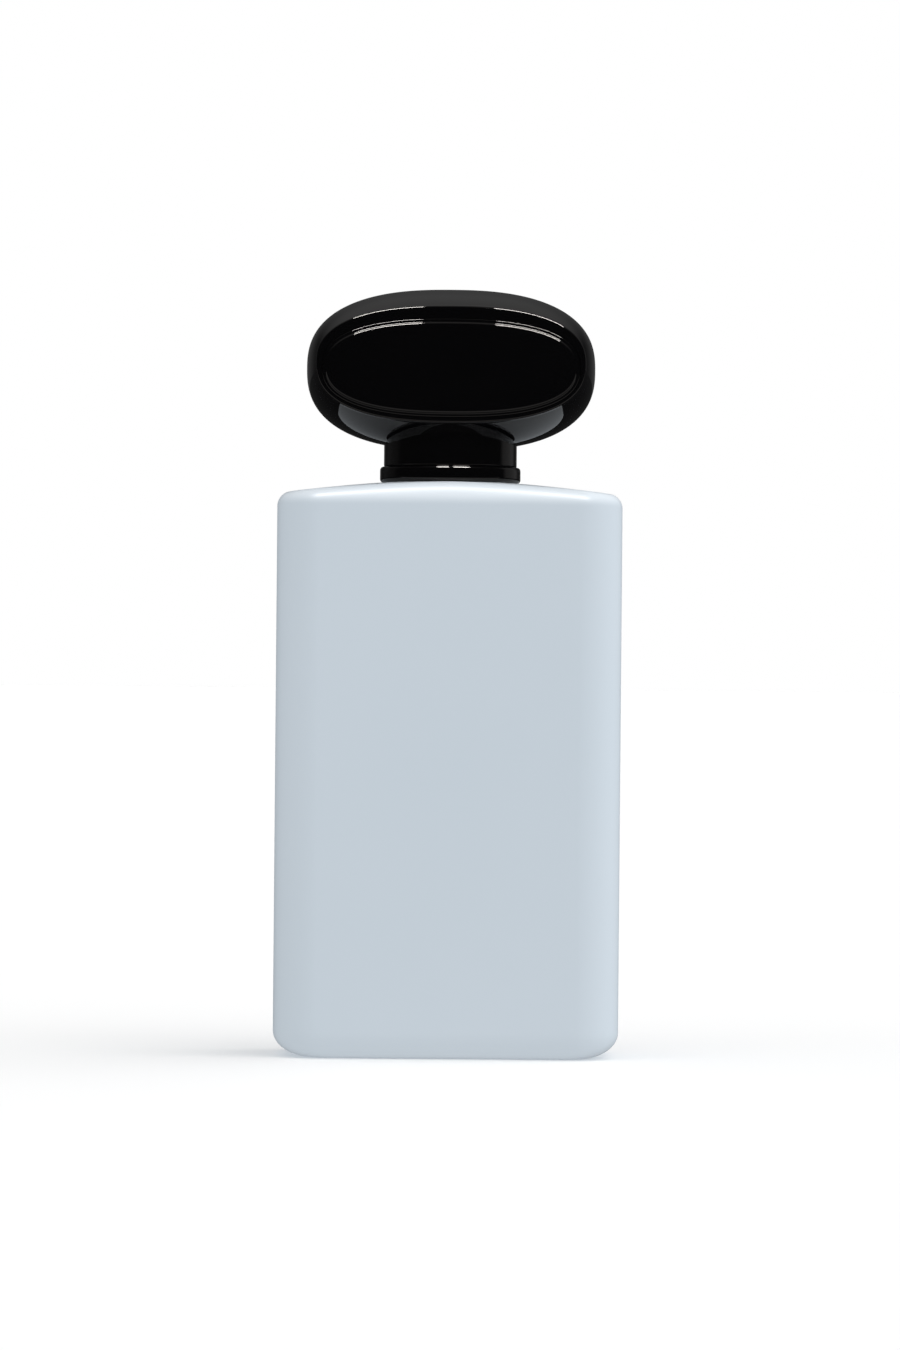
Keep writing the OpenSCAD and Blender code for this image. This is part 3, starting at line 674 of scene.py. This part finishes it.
draw_in = barrel ** BARREL_POWER
inset = pebble.rim_round * (1.0 - rounding.math("COSINE"))
width = towards(draw_in, pebble.half_width, pebble.rim_width) - inset
height = towards(draw_in, pebble.half_height, pebble.rim_height) - inset
width = towards(on_flat, width, pebble.pocket_width)
width = towards(on_ledge, width, pebble.pocket_width - pebble.ledge)
height = towards(on_flat, height, pebble.pocket_height)
height = towards(on_ledge, height, pebble.pocket_height - pebble.ledge)
depth = (pebble.half_depth - pebble.rim_round) * barrel + pebble.rim_round * rounding.math("SINE")
depth = towards(on_wall, depth, pebble.pocket_floor) * (1.0 - on_way)
lifted = towards(on_flat, pebble.middle_z + pebble.rim_rise * draw_in, pebble.pocket_z)
print("profile steps:", 2 * half_rows + 1, "points round the oval:", AROUND)

# %% [markdown]
# Going round, a point's distance from the middle of the oval follows from its angle, its half width and
# its half height. The grid then closes on itself both ways, so points that meet are merged. A bore for
# the liner is cut through the lower wall at the end.

# %% Wrap the profile round the oval and bake the cap
SKIRT_R, SKIRT_IR, BORE_IN_WALL = 12.0, 10.8, 11.4
WELD, TOOL_STEPS, TOOL_H = 0.0001, 128, 14.0

across = turn.math("COSINE")
upward = turn.math("SINE")
reach = ((across / width).abs() ** OVAL_POWER + (upward / height).abs() ** OVAL_POWER) ** (-1 / OVAL_POWER)
side = along.math("SIGN")
spot = pebble.node(
    "ShaderNodeCombineXYZ", inputs={"X": across * reach, "Y": depth * side, "Z": upward * reach + lifted}
)
wrapped = pebble.node("GeometryNodeSetPosition", inputs={"Geometry": grid, "Position": spot})
welded = pebble.node("GeometryNodeMergeByDistance", inputs={"Geometry": wrapped, "Distance": WELD})
tool_size = {"Vertices": TOOL_STEPS, "Radius": BORE_IN_WALL, "Depth": TOOL_H}
tool = pebble.node("GeometryNodeMeshCylinder", inputs=tool_size)
tool_place = (0.0, 0.0, plate_z - TOOL_H / 2)
placed = pebble.node("GeometryNodeTransform", inputs={"Geometry": tool, "Translation": tool_place})
bored = pebble.node(
    "GeometryNodeMeshBoolean",
    {"operation": "DIFFERENCE", "solver": "EXACT"},
    {"Mesh 1": welded, "Mesh 2": placed},
)
scaled = pebble.node("GeometryNodeTransform", inputs={"Geometry": bored, "Scale": (MM, MM, MM)})
cap_shell = pebble.bake("cap_shell", scaled, piano_black)
print("cap shell:", [round(c / MM, 2) for c in cap_shell.dimensions], "faces:", len(cap_shell.data.polygons))

# %% [markdown]
# The skirt is a short tube whose upper end stands inside the lower wall of the pebble, as one moulding
# has it. Its foot is eased, and a step inside the foot leaves room for the liner's flange.

# %% Add the skirt and place the cap
LINER_FLANGE_R, LINER_FLANGE_H, SKIRT_SINK = 11.45, 0.8, 1.0
FOOT_EDGE, FOOT_INNER_EDGE = 0.18, 0.08
skirt_low, step_z = cap_low.z, cap_low.z + LINER_FLANGE_H
skirt_high = plate_z - (plate_hh - LEDGE_W) - SKIRT_SINK
skirt_profile = [
    (LINER_FLANGE_R, skirt_low, FOOT_INNER_EDGE), (SKIRT_R, skirt_low, FOOT_EDGE), (SKIRT_R, skirt_high, 0),
    (SKIRT_IR, skirt_high, 0), (SKIRT_IR, step_z, 0), (LINER_FLANGE_R, step_z, 0),
]
skirt = shell("cap_skirt", spin(eased(skirt_profile)), piano_black, tube=True)
for piece in (cap_shell, skirt):
    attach(piece, "cap")
    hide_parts("cap_frame")
print("skirt from", round(skirt_low, 2), "to", round(skirt_high, 2))

# %% [markdown]
# ## The two plates
#
# Each plate is an oval inlay. Its edge is eased, then a shallow step leads up to a face that swells by a
# fraction of a millimetre, so the rim of the plate catches the light in two thin lines. Its rings are
# ovals, stacked outwards along the depth of the cap. The profile of the edge lists how far each ring is
# drawn in and how high it stands.

# %% Stack ovals into plates
def oval(hx, hz):
    """Points round a superellipse with half sizes hx and hz."""
    points = []
    for i in range(AROUND):
        a = 2 * math.pi * i / AROUND
        c, s = math.cos(a), math.sin(a)
        r = (abs(c / hx) ** OVAL_POWER + abs(s / hz) ** OVAL_POWER) ** (-1 / OVAL_POWER)
        points.append((r * c, r * s))
    return points


CROWN_STEPS = 16
EDGE_PROFILE = [
    (0.0, 0.0), (0.0, 1.88), (0.02, 1.95), (0.06, 2.0), (0.12, 2.03), (0.2, 2.045), (0.52, 2.06),
    (0.6, 2.075), (0.68, 2.12), (0.78, 2.22), (0.86, 2.27), (0.96, 2.3), (1.1, 2.32),
]


def plate_rings(side):
    """Rings of a plate that faces along side times Y."""
    stack = [(oval(plate_hw - inset, plate_hh - inset), height) for inset, height in EDGE_PROFILE]
    brow_inset, brow = EDGE_PROFILE[-1]
    in_w, in_h = plate_hw - brow_inset, plate_hh - brow_inset
    for k in range(1, CROWN_STEPS):
        share = 1 - k / CROWN_STEPS
        swell = (PLATE_T + PLATE_CROWN - brow) * (1 - share**2)
        stack.append((oval(in_w * share, in_h * share), brow + swell))
    return [[(x, side * (plate_face + height), plate_z + z) for x, z in ring] for ring, height in stack]


for name, node, side in (("front_plate", "cap_front_plate", -1), ("back_plate", "cap_back_plate", 1)):
    plate = shell(name, plate_rings(side), plate_black)
    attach(plate, "cap")
    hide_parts(node)
    print(name, [round(c / MM, 2) for c in plate.dimensions])

# %% [markdown]
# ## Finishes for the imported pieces
#
# The pump, the liner and the rest are already the right shape, so they only get their materials. The
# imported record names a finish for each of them.

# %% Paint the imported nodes
for part in frame["record"]["subparts"]:
    finish = finishes.get(part["material_slot"])
    if finish:
        for slot in frame["nodes"][part["node"]].material_slots:
            slot.material = finish
        print(part["node"], "->", finish.name)

# %% [markdown]
# ## Floor and studio
#
# The flask stands on a pale floor in a plain, soft studio. A black gloss shows its surroundings more than
# itself, so the studio has a look of its own for mirror rays: dark in front, dim behind, brighter
# overhead, with a faint glow at the sides. The camera sees plain white behind the flask. Diffuse light is
# wide and comes from high in front, a little more from the right. Each pair that ends in EDGE says where a
# part of the studio starts to show and where it is full, as a share of a direction.

# %% A studio made of directions
scene = bpy.context.scene
scene.view_settings.view_transform = "Standard"
scene.world = bpy.data.worlds.new("studio")
scene.world.use_nodes = True
studio = Graph(scene.world.node_tree)
studio.tree.nodes.clear()
DIM, BEHIND, OVERHEAD, SIDE_LEFT, SIDE_RIGHT = 0.02, 0.05, 0.3, 0.03, 0.16
FILL, KEY, FOCUS, FROM_LEFT, FROM_RIGHT = 0.09, 1.1, 3.0, 0.85, 1.8
TOP_UP, TOP_BACK, KEY_UP, KEY_FRONT = 0.985, 0.17, 0.94, 0.34
TOP_EDGE, SIDE_EDGE, REAR_EDGE, BEHIND_EDGE = (0.35, 1.0), (0.5, 0.75), (0.08, 0.3), (0.85, 1.0)

aim = studio.node("ShaderNodeTexCoord", output="Generated")
right, back, up = split(studio, aim)
overhead = (back * TOP_BACK + up * TOP_UP).ramp(*TOP_EDGE)
at_sides = right.ramp(*SIDE_EDGE) * SIDE_RIGHT + (-right).ramp(*SIDE_EDGE) * SIDE_LEFT
sides = at_sides * back.ramp(*REAR_EDGE)
seen_in_gloss = DIM + back.ramp(*BEHIND_EDGE) * BEHIND + overhead * OVERHEAD + sides
key = (up * KEY_UP - back * KEY_FRONT).at_least(0.0) ** FOCUS
diffuse_light = FILL + key * KEY + right.at_least(0.0) * FROM_RIGHT + (-right).at_least(0.0) * FROM_LEFT

rays = studio.tree.nodes.new("ShaderNodeLightPath")
is_camera = Value(studio, rays.outputs["Is Camera Ray"])
is_gloss = Value(studio, rays.outputs["Is Glossy Ray"])
strength = towards(is_camera, towards(is_gloss, diffuse_light, seen_in_gloss), 1.0)
glow = studio.node("ShaderNodeBackground", inputs={"Color": (1.0, 1.0, 1.0, 1.0), "Strength": strength})
world_end = studio.tree.nodes.new("ShaderNodeOutputWorld")
studio.fill(world_end.inputs["Surface"], glow)
print("studio ready")

# %% [markdown]
# The floor is a wide disc. To the camera it is nearly white and keeps the flask's soft shadow. For
# everything else it glows evenly: pale for diffuse light, so that the foot of the flask stays bright, and
# in a mirror dark behind the flask and a little lighter in front, as a studio table is.

# %% Floor
FLOOR_R, FLOOR_STEPS = 30.0, 96
PALE, BOUNCE, NEAR_IN_MIRROR, FAR_IN_MIRROR = 0.95, 1.0, 0.42, 0.02
PATCH_FRONT, PATCH_BACK = (-0.6, -0.4), (-0.15, -0.02)


def floor_detail(graph, shader):
    rays = graph.tree.nodes.new("ShaderNodeLightPath")
    to_camera, to_gloss = [Value(graph, rays.outputs[name]) for name in ("Is Camera Ray", "Is Glossy Ray")]
    place = split(graph, graph.node("ShaderNodeTexCoord", output="Object"))
    patch = place[1].ramp(*PATCH_FRONT) * (1.0 - place[1].ramp(*PATCH_BACK))
    in_mirror = towards(patch, FAR_IN_MIRROR, NEAR_IN_MIRROR)
    glow = graph.node("ShaderNodeEmission", inputs={"Color": towards(to_gloss, BOUNCE, in_mirror)})
    surface = Value(graph, shader.outputs[0])
    mixed = graph.node("ShaderNodeMixShader", inputs={0: to_camera, 1: glow, 2: surface})
    graph.fill(graph.tree.nodes["Material Output"].inputs["Surface"], mixed)


floor_material = make_material("pale_floor", (PALE,) * 3, 0.8, floor_detail, Specular_IOR_Level=0.0)

floor_turns = [2 * math.pi * i / FLOOR_STEPS for i in range(FLOOR_STEPS)]
floor_rim = [(FLOOR_R * math.cos(a), FLOOR_R * math.sin(a), 0.0) for a in floor_turns]
floor_mesh = bpy.data.meshes.new("floor")
floor_mesh.from_pydata(floor_rim, [], [list(range(FLOOR_STEPS))])
floor_mesh.materials.append(floor_material)
floor = bpy.data.objects.new("floor", floor_mesh)
bpy.context.collection.objects.link(floor)
print("floor radius in metres:", FLOOR_R)

# %% [markdown]
# Two narrow strip lights hang above and in front, one on each side, with a gap between them. They draw
# the thin bright lines along the rim and the plate of the cap, which break in the middle where the gap
# is.

# %% Strip lights
STRIP_FRONT, STRIP_BACK, STRIP_Z, RADIANCE = -0.97, -0.63, 1.12, 60.0


def strip_light(name, x_near, x_far):
    """A horizontal rectangle of light that shines down, from x_near to x_far."""
    data = bpy.data.lights.new(name, "AREA")
    data.shape = "RECTANGLE"
    data.size = abs(x_far - x_near)
    data.size_y = STRIP_BACK - STRIP_FRONT
    data.energy = RADIANCE * math.pi * data.size * data.size_y
    made = bpy.data.objects.new(name, data)
    made.location = ((x_near + x_far) / 2, (STRIP_FRONT + STRIP_BACK) / 2, STRIP_Z)
    made.visible_diffuse = False
    bpy.context.collection.objects.link(made)
    return made


strips = [strip_light("strip_left", -0.05, -0.4), strip_light("strip_right", 0.09, 0.6)]
print("lights:", [strip.name for strip in strips])

# %% [markdown]
# ## Camera
#
# The camera stands a little over a metre in front, at half the height of the bottle with its cap, and has
# a long lens. It looks level and is rolled by half a degree.

# %% Camera
CAMERA_D, EYE_X, EYE_Z, LENS, SENSOR, ROLL = 1.1, 0.00027, 0.0687, 162.2, 36.0, -0.5
camera = bpy.data.objects.new("camera", bpy.data.cameras.new("camera"))
bpy.context.collection.objects.link(camera)
camera.data.lens = LENS
camera.data.sensor_width = SENSOR
camera.location = (EYE_X, -CAMERA_D, EYE_Z)
camera.rotation_euler = (math.pi / 2, math.radians(ROLL), 0.0)
scene.camera = camera
print("camera at", [round(c, 3) for c in camera.location], "lens", LENS)

# %% [markdown]
# ## Close
#
# The whole model has to stay inside the box that the imported solids gave, so the skins take their sizes
# from those boxes. Here the view layer is updated once more.

# %% Update the view layer and finish
bpy.context.view_layer.update()
